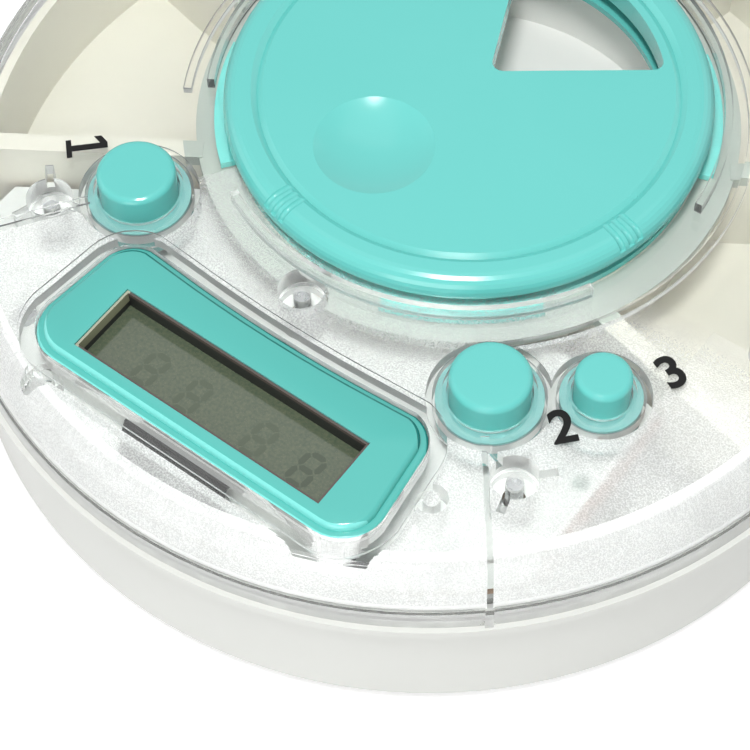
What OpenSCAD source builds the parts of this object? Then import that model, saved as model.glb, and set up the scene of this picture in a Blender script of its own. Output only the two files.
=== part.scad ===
// Automatic pill dispenser: a round case whose turning lid opens over a motor-driven carousel.
// Millimetres, +Z up. The origin is on the table, under the middle of the round case, and the
// display faces -Y. The lid and the carousel turn about one axis that lies behind the middle.

/* [Case] */
// Radius of the case at the lip of the base
body_r = 72; // [71:0.5:76]
// Height of the base, from its underside to the seam with the cover
base_h = 22.4; // [22:0.2:25]
// Thickness of the base wall
base_wall = 2.2; // [1.8:0.1:2.4]
// Thickness of the base floor
floor_t = 2; // [1.8:0.1:2.6]
// Radius of the rounded edge under the base
base_round = 1.2; // [0.8:0.1:1.6]
// Height of the lip round the top of the base
lip_h = 1.8; // [1.2:0.1:2.4]
// How far the lip stands out of the base wall
lip_out = 0.8; // [0.5:0.1:1.2]
// How far the rubber feet stand out under the base
foot_proud = 1.2; // [0.8:0.1:2]
// Radius of a rubber foot
foot_r = 5; // [4:0.5:6]

/* [Cover] */
// Height of the clear cover, from the seam to its flat top
cover_h = 12.4; // [12:0.2:14]
// Thickness of the cover
cover_t = 2; // [1.6:0.1:2.2]
// Height of the upright band at the foot of the cover
band_h = 2.9; // [2:0.1:4]
// How far the shoulder leans in between the band and the flat top
shoulder_in = 2.6; // [2:0.2:4]
// Radius of the rounded edge of the flat top
top_round = 2.4; // [2.2:0.1:3]
// Thickness of the ribs under the cover
rib_t = 1.2; // [0.8:0.1:1.6]
// Depth of the ribs under the cover
rib_d = 1.2; // [0.8:0.1:1.3]
// Height of the three curved ridges round the lid
ridge_h = 2; // [1:0.2:2.6]

/* [Lid] */
// How far the lid's axis lies behind the middle of the case
dial_y = 10.4; // [9.5:0.2:11]
// Radius of the turning lid
lid_r = 36; // [35.5:0.5:36.5]
// Thickness of the turning lid
lid_t = 3.8; // [3.2:0.2:4.6]
// Radius of the ring that hangs from the lid through the cover
skirt_r = 33.9; // [33.4:0.1:34.2]
// Direction of the wedge opening, as drawn
lid_turn = 75; // [70:1:80]
// Width of the wedge opening
wedge_deg = 77; // [60:1:80]
// Outer radius of the wedge opening
wedge_r = 29; // [26:0.5:30]
// Radius of the finger hollow in the lid
dimple_r = 8.8; // [7:0.2:9.4]
// Distance of the finger hollow from the lid's axis
dimple_out = 17.6; // [16:0.2:19]

/* [Carousel] */
// Outer radius of the carousel
car_r = 34; // [33:0.2:34]
// Number of compartments
bays = 4; // [3:1:4]
// Thickness of the carousel's floor and walls
car_t = 1.5; // [1.2:0.1:2]
// Radius of the steel spindle
spindle_r = 2.5; // [2:0.1:3]

/* [Tray] */
// Thickness of the tray's floor and hub wall
tray_t = 1.6; // [1.2:0.1:1.8]
// Width of the ledge round the hub
ledge_w = 5.8; // [4:0.2:6.2]
// Thickness of the bars between the outer bays
bar_t = 3; // [2:0.2:3.4]

/* [Display] */
// Sideways place of the display
lcd_x = 2.6; // [1:0.2:4]
// Distance of the display window's middle in front of the case's middle
lcd_y = 51.1; // [50.5:0.1:51.5]
// Length of the display window
win_l = 41.4; // [38:0.2:44]
// Width of the display window
win_w = 10.6; // [10:0.2:12]
// Thickness of the display glass
glass_t = 1.8; // [1.2:0.1:2.2]
// Depth of the display glass below the top of its surround
lcd_deep = 3.4; // [2.8:0.1:3.8]

/* [Buttons] */
// Radius of the two large buttons
big_r = 5.7; // [5:0.1:5.9]
// Radius of the small button
small_r = 3.95; // [3.5:0.05:4.2]
// How far the buttons stand above the cover
btn_proud = 4; // [3:0.2:5]
// Travel of a button
btn_travel = 1; // [0.6:0.1:1.1]
// Width of the flange that holds a button under the cover
flange_w = 1.8; // [1.2:0.1:2]

/* [Drive] */
// Tooth module of the gears
tooth_m = 1; // [0.9:0.05:1]
// Teeth of the gear on the spindle
gear_n = 48; // [44:2:50]
// Teeth of the idler gear
idler_n = 20; // [18:2:20]
// Teeth of the motor pinion
pinion_n = 12; // [12:2:14]
// Face width of the gears
gear_t = 2.8; // [2:0.2:3]
// Direction from the spindle along the gear train to the motor
train_deg = -65; // [-68:1:-62]
// Radius of the drive motor
motor_r = 10; // [8:0.5:10.5]
// Radius of the motor shaft
shaft_r = 1; // [0.8:0.1:1.2]

/* [Power] */
// Diameter of a battery
cell_d = 10.5; // [10.5:0.1:10.8]
// Length of a battery with its cap
cell_l = 44.5; // [44:0.1:44.8]
// Distance of the battery box's middle behind the case's middle
cell_y = 50.8; // [50.2:0.2:51.4]

/* [Fasteners] */
// Core radius of the case screws
screw_r = 1.25; // [1:0.05:1.4]
// Length of the case screws under the head
screw_l = 16; // [13:1:18]
// Radius of the bosses under the cover
boss_r = 3.4; // [3:0.1:3.6]

/* [Hidden] */
$fn = 96;
// Clearances: between moving pieces, for a running shaft, and beside a flat fit
gap = 0.3;
run = 0.05;
eps = 0.01;
cut = 1;
// Colours
teal = [0.37, 0.78, 0.72];
clear = [0.85, 0.9, 0.9, 0.35];
cream = [0.93, 0.92, 0.86];
white = [0.92, 0.92, 0.9];
steel = [0.72, 0.73, 0.75];
black = [0.08, 0.08, 0.08];
// Heights of the case
z_base = foot_proud;
z_floor = z_base + floor_t;
z_seam = z_base + base_h;
z_lip = z_seam - lip_h;
z_top = z_seam + cover_h;
z_under = z_top - cover_t;
// Radii of the case
wall_r = body_r - lip_out;
foot_wall_r = wall_r - 0.1;
floor_round = 0.8;
cover_r = wall_r;
flat_r = cover_r - shoulder_in - top_round;
spigot_r = wall_r - base_wall - 0.2;
spigot_t = 2;
spigot_d = 2.6;
// Heights of the lid
z_lid = z_top + 0.4;
z_lid_top = z_lid + lid_t;
z_ret_top = z_under - gap;
ret_t = 1.1;
z_ret = z_ret_top - ret_t;
skirt_t = 1.5;
dial_hole_r = skirt_r + gap;
ret_r = dial_hole_r + 3.4;
ret_rim_r = dial_hole_r + 0.9;
lug_mid = 49;
lug_deg = 36;
lid_edge = 2.4;
groove_r = lid_r * 0.86;
// Grooves for grip: radius, height of their middle over the rim, spacing
grip_r = 0.5;
grip_up = 0.12;
grip_deg = 2.6;
// Battery box and tray
roof_t = 0.9;
cell_gap = 0.2;
cell_pitch = cell_d + 0.7;
cell_z = z_floor + cell_gap + cell_d / 2;
box_x = cell_l / 2 + 2.35;
box_y = cell_pitch / 2 + cell_d / 2 + 0.75;
box_wall = 3.2;
z_box = z_floor + cell_d + 2 * cell_gap + roof_t;
z_tray = z_box;
z_tray_top = z_tray + tray_t;
tray_r = spigot_r - spigot_t - 0.4;
tray_wall = 1.4;
tray_step = 0.3;
hub_in = car_r + 0.6;
hub_out = hub_in + tray_t;
z_ledge = z_ret - 0.4;
ledge_t = 1.8;
z_bar = z_under - rib_d - 0.4;
bar_first = -12;
bar_pitch = 45;
bar_count = 6;
bar_last = bar_first + bar_pitch * (bar_count - 1);
// Carousel
bush_flange_t = 0.4;
bush_r = spindle_r + 2;
bush_flange_r = bush_r + 1.5;
z_bush = z_tray_top + bush_flange_t;
z_car = z_bush + gap;
z_car_floor = z_car + car_t;
z_car_top = z_ledge - 0.2;
car_hub_r = spindle_r + 3;
z_spindle = z_floor + 1.8;
z_spindle_top = z_car_floor + 8;
// Gear train, all in one plane under the tray
z_gear = z_tray - 0.6 - gear_t;
gear_a = tooth_m * (gear_n + idler_n) / 2;
pinion_a = tooth_m * (idler_n + pinion_n) / 2;
train = [cos(train_deg), sin(train_deg)];
axis_p = [0, dial_y];
idler_p = axis_p + gear_a * train;
motor_p = idler_p + pinion_a * train;
gear_hub_h = 1;
pivot_top = z_gear - gear_hub_h - gap;
idler_pin_r = 1.5;
motor_top = z_gear - 0.8;
motor_ear = motor_r + 3.2;
tooth_slack = 0.14;
pressure = 20;
// Circuit board and switches
pcb_t = 1.6;
z_pcb_top = z_under - 9.4;
z_pcb = z_pcb_top - pcb_t;
pcb_r = body_r - 6.5;
pcb_side = 50.4;
tact_w = 6;
tact_h = 3.6;
plunger_r = 1.75;
z_plunger = z_pcb_top + tact_h + btn_travel + 0.4;
plunger_in = 1.2;
// Buttons: place and radius of each
btn_out = 50.2;
btn_p1 = axis_p + btn_out * [cos(-125.7), sin(-125.7)];
btn_p2 = axis_p + btn_out * [cos(-51.2), sin(-51.2)];
btn_p3 = axis_p + 53 * [cos(-34.6), sin(-34.6)];
btn_at = [btn_p1, btn_p2, btn_p3];
btn_rs = [big_r, big_r, small_r];
z_flange_top = z_under - gap;
flange_t = 1.2;
skirt_h = 6;
skirt_wall = 1;
z_btn_top = z_top + btn_proud;
collar_t = 0.9;
collar_d = 3.4;
// Screw bosses that join the cover, the circuit board or tray, and the base
boss_front = [[-39.3, -38.7], [0, -29.9], [41.5, -37.1]];
boss_out = 56;
bay_1 = bar_first + bar_pitch / 2;
bay_2 = bar_last - bar_pitch * 1.5;
boss_rear = [boss_out * [cos(bay_1), sin(bay_1)], boss_out * [cos(bay_2), sin(bay_2)]];
post_r = boss_r + 0.8;
hole_r = screw_r + 0.4;
head_r = 2.6;
head_t = 1.6;
well_r = head_r + 0.3;
grip_front = 6;
pcb_posts = [[-33, -53], [39, -50]];
tray_posts = [[-24, -8], [25, -6]];
small_r2 = 0.9;
rib_up = 0.4;
ring_rib_r = lid_r + 5.4;
ring_rib_start = -44;
ring_rib_tail = 3.2;
// Gussets of the screw bosses, and the pegs that locate the display surround
gusset_l = 2.4;
gusset_t = 1.2;
gusset_d = 3.6;
peg_r = 2.3;
peg_d = 6;
small_head = 1.9;
// Feet
feet_front = [[-28, -52], [28, -52]];
feet_rear = [[-36, 46], [36, 46]];
foot_in = 1;
// Display surround outline: corner circles and the bow of its inner edge
bez_half = 22.6;
bez_up = 7.9;
bez_down = 2.4;
bez_r_up = 5.4;
bez_r_down = 6.4;
bez_bow = 1.1;
z_bez_top = z_top + 1.2;
bez_t = 1.8;
z_bez = z_bez_top - bez_t;
z_glass_top = z_bez_top - lcd_deep;
z_glass = z_glass_top - glass_t;
frame_wall = 1;
frame_rim = 0.35;
frame_low = 0.3;
bez_step = 1.2;
ribbon_l = 18;
bez_ledge = 1.1;
pegs = [[lcd_x + 31.8, -lcd_y + 4.8], [lcd_x - 23, -lcd_y - 10.6]];
glass_l = win_l + 4;
glass_w = win_w + 2.6;
// Battery door
door_gap = 0.3;
door_x = box_x + 0.7;
door_in = cell_y - box_y - 0.3;
door_t = floor_t - door_gap;
tongue_w = 1.3;
tongue_t = 0.8;
door_far = body_r + 2;

// Outlines

function arc_pts(c, r, a0, a1, n) = [for (i = [0:n]) c + r * [cos(a0 + (a1 - a0) * i / n), sin(a0 + (a1 - a0) * i / n)]];

// Outline of the display surround, grown outwards by g
function bezel_pts(g) =
    let (yu = -lcd_y + bez_up, yd = -lcd_y - bez_down, half = bez_half, ru = bez_r_up + g, rd = bez_r_down + g)
    concat(
        arc_pts([lcd_x + half, yd], rd, -90, 0, 8),
        arc_pts([lcd_x + half - 0.2, yu], ru, 5, 82, 8),
        [for (s = [0.8:-0.2:-0.81]) [lcd_x + s * half, yu + ru - bez_bow * (1 - s * s)]],
        arc_pts([lcd_x - half + 0.2, yu], ru, 98, 175, 8),
        arc_pts([lcd_x - half, yd], rd, 180, 270, 8));

// Angle that the involute from a base circle of radius rb has turned at radius r
function inv_deg(rb, r) = let (t = sqrt(max(pow(r / rb, 2) - 1, 0))) t * 180 / PI - atan(t);

// Outline of a spur gear with n involute teeth, one of them centred on +X
function gear_pts(n) =
    let (rp = tooth_m * n / 2, rb = rp * cos(pressure), ra = rp + 0.85 * tooth_m, rr = rp - 1.15 * tooth_m,
         r0 = max(rb, rr), half = 90 / n + inv_deg(rb, rp) - tooth_slack / 2 / rp * 180 / PI, steps = 3)
    [for (k = [0:n - 1], side = [-1, 1], i = [0:steps + 1])
        let (j = side < 0 ? i : steps + 1 - i,
             r = j == 0 ? rr : r0 + (ra - r0) * (j - 1) / steps,
             a = k * 360 / n + side * (half - inv_deg(rb, max(r, rb))))
        r * [cos(a), sin(a)]];

// Shared solids

module disc(r, z0, z1, p = [0, 0]) {
    translate([p[0], p[1], z0]) cylinder(r = r, h = z1 - z0);
}

module ring(r0, r1, z0, z1, p = [0, 0]) {
    difference() {
        disc(r1, z0, z1, p);
        disc(r0, z0 - cut, z1 + cut, p);
    }
}

module box(x0, x1, y0, y1, z0, z1) {
    translate([x0, y0, z0]) cube([x1 - x0, y1 - y0, z1 - z0]);
}

// Part of a ring between two directions
module arc_ring(r0, r1, z0, z1, a0, a1, p) {
    translate([p[0], p[1], 0]) rotate([0, 0, a0]) rotate_extrude(angle = a1 - a0)
        polygon([[r0, z0], [r1, z0], [r1, z1], [r0, z1]]);
}

// Everything inside the base's outer surface
module base_outer() {
    rotate_extrude() polygon(concat(
        [[0, z_base]],
        arc_pts([foot_wall_r - base_round, z_base + base_round], base_round, -90, 0, 7),
        [[wall_r, z_lip], [body_r, z_lip + 0.3], [body_r, z_seam], [0, z_seam]]));
}

// The hollow of the base
module base_hollow() {
    rotate_extrude() polygon(concat(
        [[0, z_floor]],
        arc_pts([foot_wall_r - base_wall - floor_round, z_floor + floor_round], floor_round, -90, 0, 5),
        [[wall_r - base_wall, z_lip], [wall_r - base_wall, z_seam + cut], [0, z_seam + cut]]));
}

// Everything under the cover's outer surface moved in by g
module cover_solid(g) {
    rotate_extrude() polygon(concat(
        [[0, z_seam - (g > 0 ? cut : 0)], [cover_r - g, z_seam - (g > 0 ? cut : 0)], [cover_r - g, z_seam + band_h]],
        arc_pts([flat_r - max(g - top_round + 0.2, 0), z_top - top_round - max(g - top_round + 0.2, 0)],
                max(top_round - g, 0.2), 15, 90, 5),
        [[0, z_top - g]]));
}

// A screw along +Z with its head below
module screw(p, z_head_top, l, r, hr, ht) {
    disc(r, z_head_top, z_head_top + l, p);
    difference() {
        disc(hr, z_head_top - ht, z_head_top, p);
        disc(hr * 0.4, z_head_top - ht - cut, z_head_top - ht * 0.45, p);
    }
}

// The same screw with its head above
module screw_down(p, z_seat, l, r, hr, ht) {
    disc(r, z_seat - l, z_seat, p);
    difference() {
        disc(hr, z_seat, z_seat + ht, p);
        disc(hr * 0.4, z_seat + ht * 0.45, z_seat + ht + cut, p);
    }
}

// Case

module base_shell() color(white) {
    difference() {
        union() {
            difference() {
                base_outer();
                base_hollow();
            }
            for (p = boss_front) disc(post_r, z_floor - eps, z_pcb, p);
            for (p = boss_rear) disc(post_r, z_floor - eps, z_tray, p);
            for (p = pcb_posts) disc(small_head + 0.8, z_floor - eps, z_pcb, p);
            for (p = tray_posts) disc(small_head + 0.8, z_floor - eps, z_tray, p);
            disc(car_hub_r, z_floor - eps, pivot_top, axis_p);
            disc(idler_pin_r + 2, z_floor - eps, z_gear - gap, idler_p);
            intersection() {
                base_outer();
                box(-box_x - box_wall, box_x + box_wall, cell_y - box_y - 1.6, cell_y + box_y + 1.6, z_floor - eps, z_box);
            }
        }
        for (p = boss_front) {
            disc(well_r, z_base - cut, z_pcb_top + grip_front - screw_l, p);
            disc(hole_r, z_base, z_pcb + cut, p);
        }
        for (p = boss_rear) {
            disc(well_r, z_base - cut, z_tray_top + grip_front - screw_l, p);
            disc(hole_r, z_base, z_tray + cut, p);
        }
        for (p = pcb_posts) disc(small_r2, z_pcb - 7, z_pcb + cut, p);
        for (p = tray_posts) disc(small_r2, z_tray - 7, z_tray + cut, p);
        disc(spindle_r + run, z_spindle, pivot_top + cut, axis_p);
        disc(idler_pin_r, z_floor + 1, z_gear, idler_p);
        for (p = concat(feet_front, feet_rear)) disc(foot_r + 0.1, z_base - cut, z_base + foot_in, p);
        // the battery box opens downwards
        box(-box_x, box_x, cell_y - box_y, cell_y + box_y, z_base - cut, z_box - roof_t);
        // the door's seat runs out through the rear edge
        box(-door_x - door_gap, door_x + door_gap, door_in - door_gap, door_far, z_base - cut, z_floor);
        box(-door_x - tongue_w - door_gap, door_x + tongue_w + door_gap, door_in - door_gap, door_far,
            z_floor - door_gap - tongue_t - door_gap, z_floor);
    }
}

module rubber_feet() color(black) {
    for (p = concat(feet_front, feet_rear)) {
        translate([p[0], p[1], 0]) rotate_extrude() polygon([
            [0, 0], [foot_r - 0.8, 0], [foot_r - 0.2, 0.5], [foot_r, z_base + foot_in], [0, z_base + foot_in]]);
    }
}

module cover_collar(p, r, turn) {
    difference() {
        ring(r, r + collar_t, z_under - collar_d, z_under + eps, p);
        translate([p[0], p[1], 0]) rotate([0, 0, turn]) box(0, r + 3, -r * 0.4, r * 0.4, z_under - collar_d - cut, z_under - 0.4);
    }
}

module top_cover() color(clear) {
    difference() {
        union() {
            difference() {
                cover_solid(0);
                cover_solid(cover_t);
            }
            // the spigot that centres the cover in the base
            ring(spigot_r - spigot_t, spigot_r, z_seam - spigot_d, z_seam + eps);
            ring(spigot_r - spigot_t, cover_r - cover_t + eps, z_seam, z_seam + spigot_t);
            // three curved ridges round the lid
            for (i = [0:2]) arc_ring(lid_r + 1.6, lid_r + 2.7, z_top - eps, z_top + ridge_h, i * 120 - 116, i * 120 - 28, axis_p);
            // a rib under the cover round the lid, and two on top that run out to the rim
            arc_ring(ring_rib_r, ring_rib_r + rib_t, z_under - rib_d, z_under + eps, ring_rib_start, 211, axis_p);
            translate([axis_p[0], axis_p[1], 0]) rotate([0, 0, ring_rib_start])
                box(ring_rib_r + 0.05, ring_rib_r + rib_t - 0.05, -ring_rib_tail, 0.5, z_under - rib_d + 0.2, z_under + eps);
            for (a = [-125.6, -52.4]) intersection() {
                translate([axis_p[0], axis_p[1], 0]) rotate([0, 0, a]) box(btn_out + big_r + gap + 1.3, 100, -rib_t / 2, rib_t / 2, z_seam, z_top + 1);
                difference() {
                    cover_solid(-rib_up);
                    cover_solid(cover_t / 2);
                }
            }
            for (i = [0:2]) cover_collar(btn_at[i], btn_rs[i] + flange_w + 0.4, 95);
            difference() {
                for (p = boss_front) disc(boss_r, z_pcb_top + run, z_under + eps, p);
                disc(ret_r + gap, z_ret - gap, z_under, axis_p);
            }
            for (p = boss_rear) disc(boss_r, z_tray_top + run, z_under + eps, p);
            for (g = [[boss_front[0], 11], [boss_front[2], 44]], i = [0:2]) translate([g[0][0], g[0][1], 0]) rotate([0, 0, g[1] + i * 120])
                box(boss_r - 0.4, boss_r + gusset_l, -gusset_t / 2, gusset_t / 2, z_under - gusset_d, z_under + eps);
            for (p = pegs) ring(peg_r - 1.1, peg_r, z_under - peg_d, z_under + eps, p);
            // the wall round the display surround
            intersection() {
                translate([0, 0, z_under - 3]) linear_extrude(height = cover_t + 3.5) polygon(bezel_pts(2.6));
                translate([0, 0, 0.5]) cover_solid(0);
            }
        }
        translate([0, 0, z_under - 4]) linear_extrude(height = cover_t + 8) polygon(bezel_pts(0.15));
        disc(dial_hole_r, z_under - cut, z_top + cut, axis_p);
        for (i = [0:2]) {
            disc(btn_rs[i] + gap, z_under - cut, z_top + cut, btn_at[i]);
            translate([btn_at[i][0], btn_at[i][1], z_top - 0.5]) cylinder(r1 = btn_rs[i] + gap, r2 = btn_rs[i] + gap + 1, h = 1);
        }
        for (p = boss_front) disc(screw_r, z_pcb_top - cut, z_pcb_top + grip_front + 1, p);
        for (p = boss_rear) disc(screw_r, z_tray_top - cut, z_tray_top + grip_front + 1, p);
    }
}

module case_screws() color(steel) {
    for (p = boss_front) screw(p, z_pcb_top + grip_front - screw_l, screw_l, screw_r, head_r, head_t);
    for (p = boss_rear) screw(p, z_tray_top + grip_front - screw_l, screw_l, screw_r, head_r, head_t);
}

// Tray that carries the hub, the carousel and the outer bays

// How far from the middle of the case a circle of radius r round the hub lies in direction a
function reach(a, r) = dial_y * sin(a) + sqrt(r * r - pow(dial_y * cos(a), 2));

// Each bar runs from the hub wall, under the ledge, and rises to its full height outside it
module tray_bars() {
    for (i = [0:bar_count - 1]) {
        a = bar_first + i * bar_pitch;
        rotate([0, 0, a]) {
            box(reach(a, (hub_in + hub_out) / 2), reach(a, hub_in + ledge_w), -bar_t / 2, bar_t / 2, z_tray + tray_t / 2, z_ledge - ledge_t / 2);
            box(reach(a, hub_in + ledge_w - 0.8), tray_r - tray_wall / 2, -bar_t / 2, bar_t / 2, z_tray + tray_t / 2, z_bar);
        }
    }
}

module inner_tray() color(cream) {
    difference() {
        union() {
            rotate([0, 0, bar_first]) rotate_extrude(angle = bar_last - bar_first) polygon([
                [0, z_tray + tray_step], [tray_r, z_tray + tray_step], [tray_r, z_bar - tray_step],
                [tray_r - tray_wall, z_bar - tray_step], [tray_r - tray_wall, z_tray_top], [0, z_tray_top]]);
            tray_bars();
            disc(hub_out, z_tray, z_ledge, axis_p);
            disc(hub_in + ledge_w, z_ledge - ledge_t, z_ledge, axis_p);
        }
        disc(hub_in, z_tray_top, z_bar + cut, axis_p);
        disc(boss_r + 0.4, z_ledge - ledge_t - cut, z_ledge + cut, boss_front[1]);
        for (p = boss_rear) disc(hole_r, z_tray - cut, z_tray_top + cut, p);
        for (p = tray_posts) disc(small_r2 + 0.2, z_tray - cut, z_tray_top + cut, p);
        disc(bush_r, z_tray - cut, z_tray_top + cut, axis_p);
    }
}

module tray_screws() color(steel) {
    for (p = tray_posts) screw_down(p, z_tray_top, 6, small_r2, small_head, gap);
}

module spindle_bush() color("goldenrod") {
    difference() {
        union() {
            disc(bush_r, z_tray, z_tray_top, axis_p);
            disc(bush_flange_r, z_tray_top, z_bush, axis_p);
        }
        disc(spindle_r + run, z_tray - cut, z_bush + cut, axis_p);
    }
}

// Turning lid

// The wedge that the lid opens with, drawn about the lid's own axis
module wedge_plan() {
    w = wedge_deg / 2;
    s = 4;
    c = 1.6;
    tip = [s + c / sin(w), 0];
    side = asin(s * sin(w) / (wedge_r - c) + c / (wedge_r - c));
    polygon(concat(
        arc_pts(tip, c, 180 - (90 - w), 180 + (90 - w), 4),
        arc_pts((wedge_r - c) * [cos(w - side), -sin(w - side)], c, -w - 90, -(w - side), 4),
        arc_pts([0, 0], wedge_r, -(w - side), w - side, 16),
        arc_pts((wedge_r - c) * [cos(w - side), sin(w - side)], c, w - side, w + 90, 4)));
}

module at_lid() {
    translate([axis_p[0], axis_p[1], 0]) rotate([0, 0, lid_turn]) children();
}

module dial_lid() color(teal) {
    difference() {
        at_lid() union() {
            rotate_extrude() polygon(concat(
                [[0, z_lid], [lid_r - 1.2, z_lid]],
                arc_pts([lid_r - 1.2, z_lid + 1.2], 1.2, -60, 0, 3),
                arc_pts([lid_r - lid_edge, z_lid_top - lid_edge], lid_edge, 0, 90, 6),
                [[groove_r + 0.9, z_lid_top], [groove_r, z_lid_top - 0.7], [groove_r - 0.8, z_lid_top - 0.25], [0, z_lid_top - 0.25]]));
            ring(skirt_r - skirt_t, skirt_r, z_ret_top, z_lid + eps);
            for (i = [0:3]) rotate([0, 0, 45 + i * 90]) disc(2, z_ret_top, z_lid + eps, [skirt_r - skirt_t - 1.2, 0]);
        }
        at_lid() {
            translate([0, 0, z_ret_top - cut]) linear_extrude(height = 12) wedge_plan();
            // the finger hollow
            translate([-dimple_out, 0, z_lid_top + 16.6]) sphere(r = sqrt(pow(dimple_r, 2) + pow(16.6 + 0.25, 2)));
            for (i = [0:3]) rotate([0, 0, 45 + i * 90]) disc(0.8, z_ret_top - cut, z_lid + 1, [skirt_r - skirt_t - 1.2, 0]);
            // four groups of grip grooves across the rim
            for (i = [0:3], j = [-1:1]) rotate([0, 0, i * 90 + j * grip_deg]) {
                translate([groove_r + 0.3, 0, z_lid_top + grip_up]) rotate([0, 90, 0])
                    cylinder(r = grip_r, h = lid_r - lid_edge - groove_r - 0.3 + eps, $fn = 24);
                intersection() {
                    translate([lid_r - lid_edge, 0, z_lid_top - lid_edge]) rotate([90, 0, 0])
                        rotate_extrude() translate([lid_edge + grip_up, 0]) circle(r = grip_r, $fn = 24);
                    box(lid_r - lid_edge, lid_r + 1, -1, 1, z_lid_top - lid_edge + 0.7, z_lid_top + 1);
                }
            }
        }
    }
}

module dial_retainer() color(teal) {
    difference() {
        union() {
            ring(skirt_r - skirt_t - 3.4, ret_rim_r, z_ret, z_ret_top, axis_p);
            for (i = [0:3]) arc_ring(ret_rim_r - 1, ret_r, z_ret, z_ret_top, lid_turn + lug_mid - lug_deg / 2 + i * 90, lid_turn + lug_mid + lug_deg / 2 + i * 90, axis_p);
        }
        at_lid() for (i = [0:3]) rotate([0, 0, 45 + i * 90]) disc(1, z_ret - cut, z_ret_top + cut, [skirt_r - skirt_t - 1.2, 0]);
    }
}

module retainer_screws() color(steel) {
    at_lid() for (i = [0:3]) rotate([0, 0, 45 + i * 90]) translate([skirt_r - skirt_t - 1.2, 0, 0]) {
        disc(0.8, z_ret, z_lid + 1 - 0.2);
        disc(1.5, z_ret - gap, z_ret);
    }
}

// Carousel and its gear train

module pill_carousel() color(cream) {
    translate([axis_p[0], axis_p[1], 0]) difference() {
        union() {
            disc(car_r, z_car, z_car_floor);
            ring(car_r - car_t, car_r, z_car, z_car_top);
            for (i = [0:bays - 1]) rotate([0, 0, lid_turn + (i + 0.5) * 360 / bays])
                box(car_hub_r / 2, car_r - car_t / 2, -car_t / 2, car_t / 2, z_car + car_t / 2, z_car_top);
            disc(car_hub_r, z_car, z_car_top);
        }
        disc(spindle_r, z_car - cut, z_spindle_top);
    }
}

module carousel_spindle() color(steel) {
    disc(spindle_r, z_spindle + gap, z_spindle_top, axis_p);
}

module spur(n, bore, p, turn, z0, z1) {
    translate([p[0], p[1], 0]) rotate([0, 0, turn]) difference() {
        translate([0, 0, z0]) linear_extrude(height = z1 - z0) polygon(gear_pts(n));
        disc(bore, z0 - cut, z1 + cut);
    }
}

module carousel_gear() color("ivory") {
    difference() {
        union() {
            spur(gear_n, spindle_r, axis_p, train_deg, z_gear, z_gear + gear_t);
            ring(spindle_r, car_hub_r, z_gear - gear_hub_h, z_gear + eps, axis_p);
        }
        translate([axis_p[0], axis_p[1], 0]) for (i = [0:5]) rotate([0, 0, 30 + train_deg + i * 60])
            disc(4, z_gear - cut, z_gear + gear_t + cut, [tooth_m * gear_n * 0.29, 0]);
        disc(2, z_gear - cut, z_gear + gear_t + cut, axis_p + tooth_m * gear_n * 0.4 * [cos(train_deg + 180), sin(train_deg + 180)]);
    }
}

module index_magnet() color(steel) {
    disc(2, z_gear, z_gear + gear_t, axis_p + tooth_m * gear_n * 0.4 * [cos(train_deg + 180), sin(train_deg + 180)]);
}

module home_sensor() color(black) {
    translate([axis_p[0], axis_p[1], 0]) rotate([0, 0, train_deg + 180]) {
        box(tooth_m * gear_n * 0.4 - 3, tooth_m * gear_n * 0.4 + 3, -2, 2, z_floor, z_gear - 0.8);
    }
}

module idler_pin() color(steel) {
    disc(idler_pin_r, z_floor + 1, z_gear + gear_t + 0.2, idler_p);
}

module idler_gear() color("ivory") {
    spur(idler_n, idler_pin_r + run, idler_p, train_deg + 180 + 180 / idler_n, z_gear, z_gear + gear_t);
}

module drive_motor() color(steel) {
    difference() {
        union() {
            disc(motor_r, z_floor, motor_top - 0.8, motor_p);
            disc(shaft_r + 2, motor_top - 0.9, motor_top, motor_p);
            translate([motor_p[0], motor_p[1], 0]) rotate([0, 0, train_deg]) {
                box(-2.6, 2.6, -motor_ear, motor_ear, z_floor, z_floor + 1);
                for (s = [-1, 1]) disc(2.6, z_floor, z_floor + 1, [0, s * motor_ear]);
            }
        }
        disc(shaft_r + run, z_floor + 2, motor_top + cut, motor_p);
        translate([motor_p[0], motor_p[1], 0]) rotate([0, 0, train_deg]) for (s = [-1, 1])
            disc(small_r2, z_floor - cut, z_floor + 1 + cut, [0, s * motor_ear]);
    }
}

module motor_screws() color(steel) {
    translate([motor_p[0], motor_p[1], 0]) rotate([0, 0, train_deg]) for (s = [-1, 1])
        screw_down([0, s * motor_ear], z_floor + 1, 1, small_r2, small_head, 1);
}

module motor_shaft() color(steel) {
    disc(shaft_r, z_floor + 2.3, z_gear + gear_t, motor_p);
}

module motor_pinion() color("goldenrod") {
    spur(pinion_n, shaft_r, motor_p, train_deg + 180, z_gear, z_gear + gear_t);
}

// Circuit board and what it carries

module main_pcb() color("tan") {
    difference() {
        intersection() {
            disc(pcb_r, z_pcb, z_pcb_top);
            box(-pcb_side, pcb_side, -body_r, -12, z_pcb - cut, z_pcb_top + cut);
            rotate([0, 0, bar_first]) box(-body_r, body_r, -2 * body_r, -bar_t / 2 - 1, z_pcb - cut, z_pcb_top + cut);
            rotate([0, 0, bar_last]) box(-body_r, body_r, bar_t / 2 + 1, 2 * body_r, z_pcb - cut, z_pcb_top + cut);
        }
        disc(hub_out + 0.8, z_pcb - cut, z_pcb_top + cut, axis_p);
        for (p = boss_front) disc(hole_r, z_pcb - cut, z_pcb_top + cut, p);
        for (p = pcb_posts) disc(small_r2 + 0.2, z_pcb - cut, z_pcb_top + cut, p);
    }
}

module pcb_screws() color(steel) {
    for (p = pcb_posts) screw_down(p, z_pcb_top, 6, small_r2, small_head, 1.4);
}

module controller_chip() color(black) {
    box(-14, -4, -50, -40, z_pcb - 1.8, z_pcb);
}

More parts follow.
